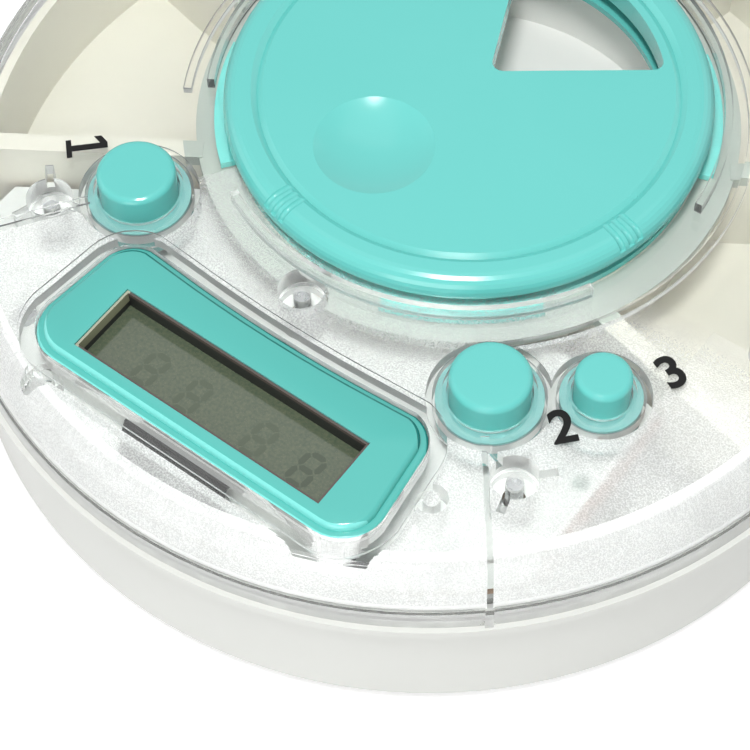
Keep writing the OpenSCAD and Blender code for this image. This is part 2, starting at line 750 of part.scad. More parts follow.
module buzzer() color(black) {
    difference() {
        disc(6, z_pcb - 6, z_pcb, [-27, -40]);
        disc(1, z_pcb - 6 - cut, z_pcb - 4, [-27, -40]);
    }
}

module tact_switches() color([0.2, 0.2, 0.2]) {
    for (p = btn_at) difference() {
        box(p[0] - tact_w / 2, p[0] + tact_w / 2, p[1] - tact_w / 2, p[1] + tact_w / 2, z_pcb_top, z_pcb_top + tact_h);
        disc(plunger_r + gap, z_pcb_top + tact_h - plunger_in - btn_travel - gap, z_pcb_top + tact_h + cut, p);
    }
}

module switch_plunger(i) color(black) {
    disc(plunger_r, z_pcb_top + tact_h - plunger_in, z_plunger, btn_at[i]);
}

module switch_plunger_1() switch_plunger(0);

module switch_plunger_2() switch_plunger(1);

module switch_plunger_3() switch_plunger(2);

// A button: a rounded cap on a flange, with a stem down to its switch
module button(i) color(teal) {
    r = btn_rs[i];
    translate([btn_at[i][0], btn_at[i][1], 0]) rotate_extrude() polygon(concat(
        [[0, z_plunger], [plunger_r + 0.7, z_plunger], [plunger_r + 0.7, z_flange_top - flange_t],
         [r + flange_w - skirt_wall, z_flange_top - flange_t], [r + flange_w - skirt_wall, z_flange_top - skirt_h],
         [r + flange_w, z_flange_top - skirt_h], [r + flange_w, z_flange_top], [r, z_flange_top]],
        arc_pts([r - 0.9, z_btn_top - 0.9], 0.9, 0, 90, 5),
        [[0, z_btn_top]]));
}

module button_1() button(0);

module button_2() button(1);

module button_3() button(2);

// Display

// A box of length l and width w round the middle of the display
module at_window(l, w, z0, z1) {
    box(lcd_x - l / 2, lcd_x + l / 2, -lcd_y - w / 2, -lcd_y + w / 2, z0, z1);
}

module lcd_frame() color(black) {
    difference() {
        union() {
            at_window(glass_l + 2 * frame_wall, glass_w + 2 * frame_wall, z_pcb_top, z_bez);
            at_window(win_l + 2 * frame_rim, win_w + 2 * frame_rim, z_bez - eps, z_bez_top - frame_low);
        }
        at_window(win_l, win_w, z_pcb_top - cut, z_bez_top + cut);
        at_window(glass_l, glass_w, z_pcb_top - cut, z_glass_top);
    }
}

module lcd_panel() color([0.42, 0.47, 0.4]) {
    at_window(glass_l - 0.2, glass_w - 0.2, z_glass, z_glass_top);
}

// The rubber strips that join the glass to the circuit board
module lcd_connector() color(black) {
    for (s = [-1, 1]) box(lcd_x - glass_l / 2 + 3, lcd_x + glass_l / 2 - 3, -lcd_y + s * (glass_w / 2 - 1.4) - 1, -lcd_y + s * (glass_w / 2 - 1.4) + 1, z_pcb_top, z_glass);
}

// Solid whose outline grows by g at height z, for each [g, z] of a list that runs from the bottom up
module bezel_skin(rings) {
    n = len(bezel_pts(0));
    last = len(rings) - 1;
    polyhedron(
        points = [for (r = rings, p = bezel_pts(r[0])) [p[0], p[1], r[1]]],
        faces = concat(
            [[for (i = [0:n - 1]) i]],
            [for (k = [0:last - 1], i = [0:n - 1]) [k * n + i, (k + 1) * n + i, (k + 1) * n + (i + 1) % n, k * n + (i + 1) % n]],
            [[for (i = [n - 1:-1:0]) last * n + i]]));
}

module lcd_bezel() color(teal) {
    z_ledge_top = z_bez_top - bez_step;
    difference() {
        union() {
            bezel_skin([[0, z_under - 1], [0, z_ledge_top - 0.4], [-0.12, z_ledge_top - 0.12], [-0.4, z_ledge_top]]);
            bezel_skin([[-bez_ledge, z_bez], [-bez_ledge, z_bez_top - 0.6], [-bez_ledge - 0.18, z_bez_top - 0.18], [-bez_ledge - 0.6, z_bez_top]]);
        }
        translate([0, 0, z_under - 2]) linear_extrude(height = z_bez - z_under + 2) polygon(bezel_pts(-0.7));
        at_window(win_l + 2 * frame_rim + 0.1, win_w + 2 * frame_rim + 0.1, z_bez - cut, z_bez_top + cut);
    }
}

// The flat ribbon that folds down from the display's frame to the circuit board
module display_ribbon() color(black) {
    y0 = -lcd_y - glass_w / 2 - frame_wall;
    translate([lcd_x - ribbon_l / 2 - 1, 0, 0]) rotate([90, 0, 90]) linear_extrude(height = ribbon_l) polygon([
        [y0, z_pcb_top + 5.6], [y0 - 1.4, z_pcb_top + 5.6], [y0 - 4, z_pcb_top + 1.2], [y0 - 4.8, z_pcb_top + 0.9],
        [y0 - 4.8, z_pcb_top], [y0 - 3.2, z_pcb_top], [y0 - 3.2, z_pcb_top + 1], [y0 - 1.6, z_pcb_top + 5], [y0, z_pcb_top + 5]]);
}

// Power

module batteries() {
    for (s = [-1, 1]) translate([0, cell_y + s * cell_pitch / 2, cell_z]) rotate([0, s * 90, 0]) {
        color("darkgreen") translate([0, 0, -cell_l / 2]) cylinder(r = cell_d / 2, h = cell_l - 0.8);
        color(steel) translate([0, 0, cell_l / 2 - 0.8 - eps]) cylinder(r = 1.9, h = 0.8 + eps);
    }
}

module battery_contacts() color(steel) {
    for (s = [-1, 1], e = [-1, 1]) translate([0, cell_y + s * cell_pitch / 2, cell_z]) rotate([0, e * 90, 0]) {
        translate([-4, -4, box_x - 0.4]) cube([8, 8, 0.4]);
        // a spring cone at the flat end of a battery, a pressed boss at its cap
        translate([0, 0, cell_l / 2]) cylinder(r1 = s == e ? 1.4 : 2.4, r2 = s == e ? 2 : 3.6, h = box_x - 0.4 + eps - cell_l / 2);
    }
}

module battery_door() color(white) {
    difference() {
        intersection() {
            base_outer();
            union() {
                box(-door_x, door_x, door_in, door_far, z_base - cut, z_base + door_t);
                box(-door_x - tongue_w, door_x + tongue_w, door_in, door_far, z_base + door_t - tongue_t, z_base + door_t);
            }
        }
        // grip grooves near the outer edge
        for (i = [0:3]) box(-8, 8, cell_y + 6 + i * 2.4, cell_y + 7 + i * 2.4, z_base - cut, z_base + 0.5);
    }
}

base_shell();
rubber_feet();
inner_tray();
tray_screws();
spindle_bush();
top_cover();
case_screws();
dial_lid();
dial_retainer();
retainer_screws();
pill_carousel();
carousel_spindle();
carousel_gear();
index_magnet();
home_sensor();
idler_pin();
idler_gear();
drive_motor();
motor_screws();
motor_shaft();
motor_pinion();
main_pcb();
pcb_screws();
controller_chip();
buzzer();
tact_switches();
switch_plunger_1();
switch_plunger_2();
switch_plunger_3();
button_1();
button_2();
button_3();
lcd_frame();
lcd_panel();
lcd_connector();
lcd_bezel();
display_ribbon();
batteries();
battery_contacts();
battery_door();
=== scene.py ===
import math

import bpy
from mathutils import Matrix, Quaternion, Vector


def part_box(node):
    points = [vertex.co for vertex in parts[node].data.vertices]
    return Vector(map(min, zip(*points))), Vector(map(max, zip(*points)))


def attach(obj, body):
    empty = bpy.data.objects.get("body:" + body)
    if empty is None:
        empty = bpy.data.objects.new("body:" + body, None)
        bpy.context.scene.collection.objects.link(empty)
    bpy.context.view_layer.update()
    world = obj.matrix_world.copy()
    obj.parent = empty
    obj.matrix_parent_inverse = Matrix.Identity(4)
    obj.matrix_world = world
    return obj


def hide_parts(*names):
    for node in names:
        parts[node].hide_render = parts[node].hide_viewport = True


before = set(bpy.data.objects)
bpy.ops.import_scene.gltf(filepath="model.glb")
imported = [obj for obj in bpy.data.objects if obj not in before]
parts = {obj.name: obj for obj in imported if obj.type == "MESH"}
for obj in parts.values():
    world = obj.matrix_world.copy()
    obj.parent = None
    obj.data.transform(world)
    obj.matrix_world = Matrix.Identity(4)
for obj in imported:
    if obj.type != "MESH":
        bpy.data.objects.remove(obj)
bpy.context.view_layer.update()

# The dispenser stands on a white table and is photographed from above and to the right, close enough that
# its left, rear and right edges fall outside the picture.
camera = bpy.data.objects.new("camera", bpy.data.cameras.new("camera"))
bpy.context.scene.collection.objects.link(camera)
camera.data.sensor_width = 36.0
camera.data.lens = 105.494
camera.data.clip_start = 0.01
camera.data.clip_end = 5.0
camera.location = (0.115563, -0.161235, 0.289205)
looks_at = Vector((0.017358, -0.035895, 0.036))
facing = (looks_at - camera.location).to_track_quat("-Z", "Y")
lean = Quaternion((0, 0, 1), -math.radians(1.6407))
camera.rotation_mode = "QUATERNION"
camera.rotation_quaternion = facing @ lean
bpy.context.scene.camera = camera
bpy.context.scene.view_settings.view_transform = "Standard"

# The room is a plain white tent: an even sky, with a white background wherever the lens, a gloss or the clear
# cover looks past the object. Light that a matt surface gathers through the cover stays at the even level.
room = bpy.data.worlds.new("room")
bpy.context.scene.world = room
room.use_nodes = True
tree = room.node_tree
tree.nodes.clear()


def add_node(tree, kind, **settings):
    """One shader node with its settings; a key that names an input sets that input's value."""
    made = tree.nodes.new(kind)
    for key, value in settings.items():
        if hasattr(made, key):
            setattr(made, key, value)
        else:
            made.inputs[key.replace("_", " ")].default_value = value
    return made


def maths(tree, operation, first, second=None):
    """A maths node fed by a socket or a number on each side."""
    made = add_node(tree, "ShaderNodeMath", operation=operation)
    for index, value in enumerate((first, second)):
        if value is None:
            continue
        if isinstance(value, (int, float)):
            made.inputs[index].default_value = value
        else:
            tree.links.new(value, made.inputs[index])
    return made.outputs[0]


def spread(tree, value, from_low, from_high, to_low, to_high):
    """A value stretched from one range to another and held at its ends."""
    made = add_node(tree, "ShaderNodeMapRange")
    made.inputs["From Min"].default_value = from_low
    made.inputs["From Max"].default_value = from_high
    made.inputs["To Min"].default_value = to_low
    made.inputs["To Max"].default_value = to_high
    tree.links.new(value, made.inputs["Value"])
    return made.outputs[0]


rays = add_node(tree, "ShaderNodeLightPath")
seen = maths(tree, "MAXIMUM", rays.outputs["Is Camera Ray"], rays.outputs["Is Transmission Ray"])
seen = maths(tree, "MAXIMUM", seen, rays.outputs["Is Glossy Ray"])
before_matt = maths(tree, "LESS_THAN", rays.outputs["Diffuse Depth"], 0.5)
even_level, white_level = 0.40, 1.0
sky = spread(tree, maths(tree, "MULTIPLY", seen, before_matt), 0.0, 1.0, even_level, white_level)
glow = add_node(tree, "ShaderNodeBackground", Color=(1, 1, 1, 1))
out = add_node(tree, "ShaderNodeOutputWorld")
tree.links.new(sky, glow.inputs["Strength"])
tree.links.new(glow.outputs[0], out.inputs["Surface"])

# The main lamp is a small soft box above the camera, as a flash is; a broad panel hangs overhead, a low one
# stands in front, and two weak ones light the far sides. The cover lets their light straight through, so its
# refracted rays don't gather it a second time.
aim = Vector((0, 0, 0.02))
for lamp_name, place, size, power in (
    ("flash", (0.070, -0.120, 0.480), 0.07, 1.42),
    ("top_panel", (-0.05, 0.10, 0.70), 0.50, 0.4),
    ("front_panel", (0.25, -0.65, 0.20), 0.40, 1.7),
    ("left_panel", (-0.55, -0.25, 0.35), 0.40, 0.4),
    ("rear_panel", (0.25, 0.60, 0.30), 0.40, 0.3),
):
    light = bpy.data.lights.new(lamp_name, "AREA")
    light.shape = "SQUARE"
    light.size = size
    light.energy = power
    lamp = bpy.data.objects.new(lamp_name, light)
    bpy.context.scene.collection.objects.link(lamp)
    lamp.visible_transmission = False
    lamp.location = place
    lamp.rotation_mode = "QUATERNION"
    lamp.rotation_quaternion = (aim - Vector(place)).to_track_quat("-Z", "Y")

# The table top is a white sheet that keeps the object's soft shadow. It glows a little to the lens alone, so
# that it stays as white as the photo's background.
bpy.ops.object.select_all(action="DESELECT")
bpy.ops.mesh.primitive_plane_add(size=3.0, location=(0, 0, -0.0001))
table = bpy.context.active_object
table.name = "table"
sheet = bpy.data.materials.new("white_sheet")
sheet.use_nodes = True
sheet_bsdf = sheet.node_tree.nodes["Principled BSDF"]
sheet_bsdf.inputs["Base Color"].default_value = (0.88, 0.88, 0.88, 1)
sheet_bsdf.inputs["Roughness"].default_value = 0.9
sheet_bsdf.inputs["Emission Color"].default_value = (1, 1, 1, 1)
sheet_rays = add_node(sheet.node_tree, "ShaderNodeLightPath")
sheet_glow = maths(sheet.node_tree, "MULTIPLY", sheet_rays.outputs["Is Camera Ray"], 0.5)
sheet.node_tree.links.new(sheet_glow, sheet_bsdf.inputs["Emission Strength"])
table.data.materials.append(sheet)

# Every moulding has a fine grain left by the tool's steel and broad, faint clouds where the melt flowed.
# The group gives both, and each plastic takes its own amounts.
moulding = bpy.data.node_groups.new("moulding", "ShaderNodeTree")
for name, kind, direction in (
    ("Grain Scale", "NodeSocketFloat", "INPUT"),
    ("Cloud Scale", "NodeSocketFloat", "INPUT"),
    ("Grain", "NodeSocketFloat", "OUTPUT"),
    ("Cloud", "NodeSocketFloat", "OUTPUT"),
):
    moulding.interface.new_socket(name=name, in_out=direction, socket_type=kind)
gin = add_node(moulding, "NodeGroupInput")
gout = add_node(moulding, "NodeGroupOutput")
where = add_node(moulding, "ShaderNodeTexCoord")
fine = add_node(moulding, "ShaderNodeTexNoise", Detail=3.0, Roughness=0.6)
broad = add_node(moulding, "ShaderNodeTexNoise", Detail=4.0, Roughness=0.55, Distortion=0.6)
moulding.links.new(where.outputs["Object"], fine.inputs["Vector"])
moulding.links.new(where.outputs["Object"], broad.inputs["Vector"])
moulding.links.new(gin.outputs["Grain Scale"], fine.inputs["Scale"])
moulding.links.new(gin.outputs["Cloud Scale"], broad.inputs["Scale"])
moulding.links.new(fine.outputs["Fac"], gout.inputs["Grain"])
moulding.links.new(broad.outputs["Fac"], gout.inputs["Cloud"])


def mix(tree, factor, first, second):
    """A mix of two colours, each a socket or a colour, by a socket from zero to one."""
    made = add_node(tree, "ShaderNodeMix", data_type="RGBA")
    tree.links.new(factor, made.inputs[0])
    for index, value in ((6, first), (7, second)):
        if isinstance(value, tuple):
            made.inputs[index].default_value = (*value, 1)
        else:
            tree.links.new(value, made.inputs[index])
    return made.outputs[2]


def new_material(name):
    """A new material with its node tree and its shader."""
    mat = bpy.data.materials.new(name)
    mat.use_nodes = True
    return mat, mat.node_tree, mat.node_tree.nodes["Principled BSDF"]


def grained(tree, bsdf, grain, cloud, lift, height=0.0002):
    """Adds the moulding's grain to a shader's normal and returns the cloud socket."""
    skin = add_node(tree, "ShaderNodeGroup", node_tree=moulding)
    skin.inputs["Grain Scale"].default_value = grain
    skin.inputs["Cloud Scale"].default_value = cloud
    bump = add_node(tree, "ShaderNodeBump", Strength=lift, Distance=height)
    tree.links.new(skin.outputs["Grain"], bump.inputs["Height"])
    tree.links.new(bump.outputs[0], bsdf.inputs["Normal"])
    return skin.outputs["Cloud"]


def plastic(name, light, dark, gloss, grain, cloud, lift):
    """A moulded plastic: its colour drifts from light to dark and its roughness over gloss; its grain lifts."""
    mat, tree, bsdf = new_material(name)
    clouds = grained(tree, bsdf, grain, cloud, lift)
    tree.links.new(mix(tree, clouds, light, dark), bsdf.inputs["Base Color"])
    tree.links.new(spread(tree, clouds, 0.25, 0.75, *gloss), bsdf.inputs["Roughness"])
    return mat


def dress(mat, *names):
    """Puts a material in the slots of the named parts."""
    for part in names:
        for slot in parts[part].material_slots:
            slot.material = mat


# The base is one off-white moulding: a deep bowl with a glossy lip that the cover stands in. Its door slides
# under the battery bay and is moulded from the same plastic.
shell_plastic = plastic(
    "shell_plastic", (0.655, 0.665, 0.635), (0.635, 0.645, 0.61),
    gloss=(0.30, 0.38), grain=1800.0, cloud=45.0, lift=0.03,
)
dress(shell_plastic, "base_shell", "battery_door")

# Four black rubber feet are pressed into pockets in the bottom. The display's connector is a strip of the same
# kind of rubber.
foot_rubber = plastic(
    "foot_rubber", (0.022, 0.022, 0.022), (0.034, 0.034, 0.033),
    gloss=(0.55, 0.75), grain=4000.0, cloud=300.0, lift=0.5,
)
dress(foot_rubber, "rubber_feet", "lcd_connector")

# Two cells in plain dark green jackets lie between plated springs. The contacts, the screws and the other
# metal parts have fine scratches in their gloss.
cell_jacket = plastic(
    "cell_jacket", (0.016, 0.080, 0.045), (0.012, 0.060, 0.034),
    gloss=(0.22, 0.32), grain=2600.0, cloud=160.0, lift=0.05,
)
dress(cell_jacket, "batteries")


def metal(name, colour, rough, scratch):
    """A plated or turned metal with fine scratches in its gloss."""
    mat, tree, bsdf = new_material(name)
    bsdf.inputs["Metallic"].default_value = 1.0
    bsdf.inputs["Base Color"].default_value = (*colour, 1)
    clouds = grained(tree, bsdf, scratch, 400.0, 0.08, height=0.0001)
    tree.links.new(spread(tree, clouds, 0.0, 1.0, rough - 0.08, rough + 0.12), bsdf.inputs["Roughness"])
    return mat


plated_steel = metal("plated_steel", (0.56, 0.57, 0.58), 0.26, 3000.0)
dress(plated_steel, "battery_contacts", "case_screws", "tray_screws", "retainer_screws")
dress(plated_steel, "pcb_screws", "motor_screws")

# The motor's can, its shaft and the pins of the gear train are bright steel, and the pinion and the bush are
# brass. The two large gears are moulded in acetal.
dress(plated_steel, "drive_motor", "motor_shaft", "idler_pin", "carousel_spindle", "index_magnet")
turned_brass = metal("turned_brass", (0.60, 0.42, 0.16), 0.24, 5000.0)
dress(turned_brass, "motor_pinion", "spindle_bush")
gear_acetal = plastic(
    "gear_acetal", (0.84, 0.82, 0.74), (0.79, 0.77, 0.69),
    gloss=(0.34, 0.46), grain=7000.0, cloud=90.0, lift=0.08,
)
dress(gear_acetal, "carousel_gear", "idler_gear")

# The tray and the carousel are cream mouldings: the tray parts the outer bays with bars, and the carousel's
# four bays turn under the lid. The tray's ledge round the lid is a shade greyer.
lid_middle = (0.0, 0.0104)
cream = plastic(
    "cream", (0.70, 0.685, 0.60), (0.65, 0.635, 0.55),
    gloss=(0.30, 0.42), grain=6000.0, cloud=50.0, lift=0.08,
)


def spot_on(tree):
    """Sockets for a point's X, Y and Z and for its normal's X, Y and Z, all on the object and in metres."""
    at = add_node(tree, "ShaderNodeTexCoord")
    point = add_node(tree, "ShaderNodeSeparateXYZ")
    turned = add_node(tree, "ShaderNodeSeparateXYZ")
    tree.links.new(at.outputs["Object"], point.inputs[0])
    tree.links.new(at.outputs["Normal"], turned.inputs[0])
    return [point.outputs[axis] for axis in "XYZ"] + [turned.outputs[axis] for axis in "XYZ"]


def away(tree, x, y, middle):
    """Distance on the plan from a point given in metres."""
    dx = maths(tree, "SUBTRACT", x, middle[0])
    dy = maths(tree, "SUBTRACT", y, middle[1])
    squares = maths(tree, "ADD", maths(tree, "MULTIPLY", dx, dx), maths(tree, "MULTIPLY", dy, dy))
    return maths(tree, "SQRT", squares)


def both(tree, *masks):
    """The product of the masks: one where all of them are one."""
    result = masks[0]
    for mask in masks[1:]:
        result = maths(tree, "MULTIPLY", result, mask)
    return result


def over(tree, value, level):
    """One where a value is over a level."""
    return maths(tree, "GREATER_THAN", value, level)


def under(tree, value, level):
    """One where a value is under a level."""
    return maths(tree, "LESS_THAN", value, level)


def between(tree, value, low, high):
    """One where a value lies between two levels."""
    return both(tree, over(tree, value, low), under(tree, value, high))


def paint(mat, mask, colour):
    """Paints a colour over a material's base colour where the mask is one."""
    base = mat.node_tree.nodes["Principled BSDF"].inputs["Base Color"]
    mat.node_tree.links.new(mix(mat.node_tree, mask, base.links[0].from_socket, colour), base)


tree = cream.node_tree
x, y, z, nx, ny, nz = spot_on(tree)
on_ledge = between(tree, away(tree, x, y, lid_middle), 0.0352, 0.0424)
paint(cream, both(tree, over(tree, z, 0.0305), on_ledge), (0.36, 0.40, 0.36))
dress(cream, "inner_tray")
pale_cream = plastic(
    "pale_cream", (0.93, 0.93, 0.90), (0.91, 0.91, 0.88),
    gloss=(0.30, 0.42), grain=6000.0, cloud=50.0, lift=0.08,
)
dress(pale_cream, "pill_carousel")

# The board is paper laminate with a pale silvery mask on its faces, so only its sawn edges show brown, with
# the dimples of the row of holes that it was snapped off at. A grey-green dot marks a test point.
board, tree, bsdf = new_material("board")
clouds = grained(tree, bsdf, 2400.0, 130.0, 0.25)
bsdf.inputs["Roughness"].default_value = 0.42
x, y, z, nx, ny, nz = spot_on(tree)
at = add_node(tree, "ShaderNodeTexCoord")
dots = add_node(tree, "ShaderNodeTexVoronoi", Scale=620.0)
tree.links.new(at.outputs["Object"], dots.inputs["Vector"])
mask_tone = mix(tree, clouds, (0.70, 0.72, 0.70), (0.58, 0.60, 0.58))
edge_tone = mix(tree, dots.outputs["Distance"], (0.10, 0.045, 0.02), (0.34, 0.19, 0.08))
is_face = over(tree, maths(tree, "ABSOLUTE", nz), 0.5)
tree.links.new(mix(tree, is_face, edge_tone, mask_tone), bsdf.inputs["Base Color"])
snapped_edge_x, test_point, test_point_r = 0.0488, (0.0465, -0.0280), 0.0013
dimpled = both(tree, over(tree, x, snapped_edge_x), over(tree, dots.outputs["Distance"], 0.22))
paint(board, dimpled, (0.15, 0.055, 0.03))
paint(board, under(tree, away(tree, x, y, test_point), test_point_r), (0.16, 0.22, 0.19))
dress(board, "main_pcb")

# The chip, the buzzer, the sensor and the switches with their plungers are black mouldings. The display's
# ribbon is as dark.
black_plastic = plastic(
    "black_plastic", (0.030, 0.030, 0.030), (0.018, 0.018, 0.018),
    gloss=(0.35, 0.5), grain=6500.0, cloud=200.0, lift=0.15,
)
dress(black_plastic, "controller_chip", "buzzer", "home_sensor", "tact_switches", "display_ribbon")
dress(black_plastic, "switch_plunger_1", "switch_plunger_2", "switch_plunger_3")

# The display's frame is black inside its window. Its lit parts are painted light: the top of the window is
# painted a dull brown, lighter than the black below, the left end's wall olive and its rim tan where the light
# falls on them, and the frame's front, seen through the cover, is painted pale.
gasket = plastic(
    "gasket", (0.016, 0.018, 0.017), (0.012, 0.013, 0.012),
    gloss=(0.40, 0.55), grain=5000.0, cloud=300.0, lift=0.1,
)
tree = gasket.node_tree
x, y, z, nx, ny, nz = spot_on(tree)
rim_z, wall_z, left_x, front_y = 0.0362, 0.0350, -0.0179, -0.0585
lit_left_wall_mask = both(tree, over(tree, z, wall_z), over(tree, nx, 0.5), under(tree, x, 0.0))
lit_left_top_mask = both(tree, over(tree, nz, 0.5), over(tree, z, rim_z), under(tree, x, left_x))
# Painted light: dull brown on the upper walls, olive on the lit left wall, tan on its lit top and pale on the
# front.
paint(gasket, over(tree, z, rim_z), (0.085, 0.066, 0.058))
paint(gasket, lit_left_wall_mask, (0.26, 0.27, 0.17))
paint(gasket, lit_left_top_mask, (0.42, 0.42, 0.32))
paint(gasket, under(tree, y, front_y), (0.50, 0.52, 0.50))
dress(gasket, "lcd_frame")

# The display is a sandwich of glass with a grey-green reflector behind it, which sparkles a little.
# Its front is polished and has a thin clear film.
display, tree, bsdf = new_material("display")
at = add_node(tree, "ShaderNodeTexCoord")
speck = add_node(tree, "ShaderNodeTexVoronoi", Scale=3400.0)
drift = add_node(tree, "ShaderNodeTexNoise", Scale=2300.0, Detail=1.0)
tree.links.new(at.outputs["Object"], speck.inputs["Vector"])
tree.links.new(at.outputs["Object"], drift.inputs["Vector"])
foil = mix(tree, drift.outputs["Fac"], (0.132, 0.152, 0.092), (0.052, 0.084, 0.056))
sparkling = spread(tree, speck.outputs["Distance"], 0.25, 0.05, 0.0, 0.5)
tree.links.new(mix(tree, sparkling, foil, (0.21, 0.20, 0.15)), bsdf.inputs["Base Color"])
bsdf.inputs["Roughness"].default_value = 0.12
bsdf.inputs["Coat Weight"].default_value = 0.2
bsdf.inputs["Coat Roughness"].default_value = 0.04
dress(display, "lcd_panel")

# With the power off, the figures of the display still show faintly: each is seven strips that are a little
# darker than the glass, all cut to points at their ends.
ghost = plastic(
    "ghost_figures", (0.066, 0.088, 0.056), (0.060, 0.080, 0.052),
    gloss=(0.12, 0.13), grain=5200.0, cloud=60.0, lift=0.02,
)
faint_ghost = plastic(
    "faint_ghost_figures", (0.084, 0.108, 0.068), (0.076, 0.100, 0.064),
    gloss=(0.12, 0.13), grain=5200.0, cloud=60.0, lift=0.02,
)
glass_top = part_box("lcd_panel")[1].z
strip_long, strip_wide, strip_thick = 0.0023, 0.00090, 0.00002
half_apart_x, half_apart_y, slant = 0.00135, 0.00130, 0.10
strips = []
for cx, cy, upright in ((0, 2, 0), (-1, 1, 1), (1, 1, 1), (0, 0, 0), (-1, -1, 1), (1, -1, 1), (0, -2, 0)):
    bpy.ops.object.select_all(action="DESELECT")
    bpy.ops.mesh.primitive_cube_add(size=1)
    strip = bpy.context.active_object
    strip.scale = (strip_long, strip_wide, strip_thick)
    bpy.ops.object.transform_apply(location=False, rotation=False, scale=True)
    bpy.ops.object.mode_set(mode="EDIT")
    bpy.ops.mesh.select_mode(type="EDGE")
    bpy.ops.mesh.select_all(action="DESELECT")
    bpy.ops.object.mode_set(mode="OBJECT")
    for edge in strip.data.edges:
        ends = [strip.data.vertices[v].co for v in edge.vertices]
        edge.select = abs(ends[0].z - ends[1].z) > 1e-6
    bpy.ops.object.mode_set(mode="EDIT")
    bpy.ops.mesh.bevel(offset=strip_wide * 0.49, segments=1)
    bpy.ops.object.mode_set(mode="OBJECT")
    strip.rotation_euler = (0, 0, math.pi / 2 * upright)
    strip.location = (cx * half_apart_x, cy * half_apart_y, 0)
    bpy.ops.object.transform_apply(location=True, rotation=True, scale=True)
    strips.append(strip)
bpy.ops.object.select_all(action="DESELECT")
for strip in strips:
    strip.select_set(True)
bpy.context.view_layer.objects.active = strips[0]
bpy.ops.object.join()
eight = bpy.context.active_object
for v in eight.data.vertices:
    v.co.x += slant * v.co.y
eight_mesh = eight.data.copy()
figures_y = -0.0523
for number, figure_x in enumerate((-0.0090, -0.0015, 0.0100, 0.0180), start=1):
    figure = eight if number == 1 else eight.copy()
    if number > 1:
        figure.data = eight_mesh.copy()
        bpy.context.scene.collection.objects.link(figure)
    figure.name = "display_figure_%d" % number
    figure.data.transform(Matrix.Translation((figure_x, figures_y, glass_top)))
    figure.data.materials.clear()
    figure.data.materials.append(ghost if number == 4 else faint_ghost)
    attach(figure, "case")

# The cover is one clear moulding. It is polished outside, and over the electronics its inside is etched, so
# that zone looks like silver frost; the cream bays beside it show through clear plastic.
clear, tree, bsdf = new_material("clear_cover")
bsdf.inputs["Base Color"].default_value = (0.965, 0.975, 0.97, 1)
bsdf.inputs["Transmission Weight"].default_value = 1.0
bsdf.inputs["IOR"].default_value = 1.46
x, y, z, nx, ny, nz = spot_on(tree)
from_middle = away(tree, x, y, (0.0, 0.0))
from_lid = away(tree, x, y, lid_middle)


def along(tree, x, y, direction):
    """Distance on the plan from the lid's middle along a direction."""
    behind = maths(tree, "SUBTRACT", y, lid_middle[1])
    return maths(
        tree, "ADD", maths(tree, "MULTIPLY", x, direction[0]), maths(tree, "MULTIPLY", behind, direction[1])
    )


def across(direction):
    """The direction a quarter turn to the left of another."""
    return -direction[1], direction[0]


# The etched zone lies in front of the lid, to the right of the left rib. The buttons' collars and the two ribs
# that run down the shoulder stay clear.
left_rib, right_rib = (-0.582, -0.813), (0.610, -0.792)
rib_start, rib_half, zone_rear_y, opening_r = 0.0570, 0.00042, -0.0020, 0.0344
zone = over(tree, along(tree, x, y, across(left_rib)), 0.0)
zone = both(tree, zone, under(tree, y, zone_rear_y), over(tree, from_lid, opening_r))
collars = (((-0.0293, -0.0304), 0.0088), ((0.0315, -0.0287), 0.0088), ((0.0436, -0.0197), 0.0070))
for collar, collar_r in collars:
    zone = both(tree, zone, over(tree, away(tree, x, y, collar), collar_r))
for rib in (left_rib, right_rib):
    on_rib = under(tree, maths(tree, "ABSOLUTE", along(tree, x, y, across(rib))), rib_half)
    on_rib = both(tree, over(tree, along(tree, x, y, rib), rib_start), on_rib)
    zone = both(tree, zone, under(tree, on_rib, 0.5))

# The inside of the cover's top and the inside of its shoulder are etched. Towards the rear the etching fades
# out over nine millimetres.
shoulder_r, top_edge_r, slope_low_z, slope_low_r, slope_lean = 0.0655, 0.0672, 0.0262, 0.0700, 0.35
inner_low_z, inner_high_z = 0.0337, 0.0350
under_top = both(tree, between(tree, z, inner_low_z, inner_high_z), under(tree, from_middle, top_edge_r))
rise = maths(tree, "SUBTRACT", z, 0.0265)
skin_r = maths(tree, "SUBTRACT", slope_low_r, maths(tree, "MULTIPLY", rise, slope_lean))
inside_skin = under(tree, maths(tree, "SUBTRACT", from_middle, skin_r), 0.0)
slope = both(
    tree, inside_skin, over(tree, from_middle, shoulder_r), between(tree, z, slope_low_z, inner_high_z)
)
fading = spread(tree, y, zone_rear_y, -0.0110, 0.0, 1.0)
frost = both(tree, maths(tree, "MAXIMUM", under_top, slope), zone, fading)
tree.links.new(spread(tree, frost, 0.0, 1.0, 0.015, 0.22), bsdf.inputs["Roughness"])

# Upright walls catch more light than the flat top, so the walls and bosses below it, the low ridges on it and
# the band that stands in the base's lip are painted whiter, as painted light. Beside the board's edge the
# etched top is painted a little whiter too, a painted light over the deep shade below it.
top_z, boss_low_z, wall_low_z, band_low_z, band_high_z = 0.0362, 0.0336, 0.0285, 0.0236, 0.0270
upright = under(tree, maths(tree, "ABSOLUTE", nz), 0.5)
wall = both(tree, upright, between(tree, z, wall_low_z, top_z), under(tree, from_middle, shoulder_r))
boss = both(tree, wall, under(tree, z, boss_low_z))
ridge = both(tree, upright, over(tree, z, top_z))
band = both(tree, upright, between(tree, z, band_low_z, band_high_z))
painted_light_beside_board = both(tree, under_top, zone, over(tree, x, 0.0504), over(tree, from_lid, 0.0430))

